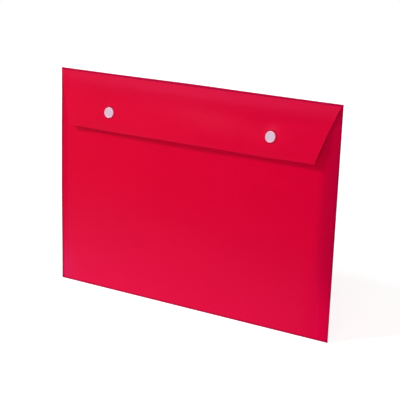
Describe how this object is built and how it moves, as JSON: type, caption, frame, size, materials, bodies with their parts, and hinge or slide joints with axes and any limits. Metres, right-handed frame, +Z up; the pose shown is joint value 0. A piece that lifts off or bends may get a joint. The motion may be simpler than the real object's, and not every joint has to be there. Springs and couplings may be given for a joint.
{
  "type": "document wallet",
  "caption": "Landscape document wallet of creased red plastic sheet: a welded pocket with a tapered flap that folds over the mouth and snaps shut with white press studs.",
  "frame": {"origin": "middle of the bottom of the upright wallet, halfway through its depth", "axes": "X along the wallet's width, the front and its flap face -Y, Z up"},
  "size_m": [0.335, 0.0128, 0.245],
  "materials": {
    "red_sheet": "opaque satin polypropylene sheet with a fine grain",
    "white_popper": "white moulded plastic, smooth with a slightly dished face"
  },
  "bodies": {
    "pocket": {"back_panel": "red_sheet", "bottom_fold": "red_sheet", "front_panel": "red_sheet", "left_side_strip": "red_sheet", "right_side_strip": "red_sheet", "flap_crease": "red_sheet", "left_popper_stud": "white_popper", "left_popper_backing_cap": "white_popper", "right_popper_stud": "white_popper", "right_popper_backing_cap": "white_popper"},
    "flap": {"flap": "red_sheet", "left_popper_cap": "white_popper", "left_popper_socket": "white_popper", "right_popper_cap": "white_popper", "right_popper_socket": "white_popper"}
  },
  "joints": [
    {"name": "flap_hinge", "type": "hinge", "parent": "pocket", "child": "flap", "pos_m": [0, 0.00616, 0.24475], "axis": [-1, 0, 0], "range_deg": [0, 300], "deforming": ["flap_crease"]}
  ]
}
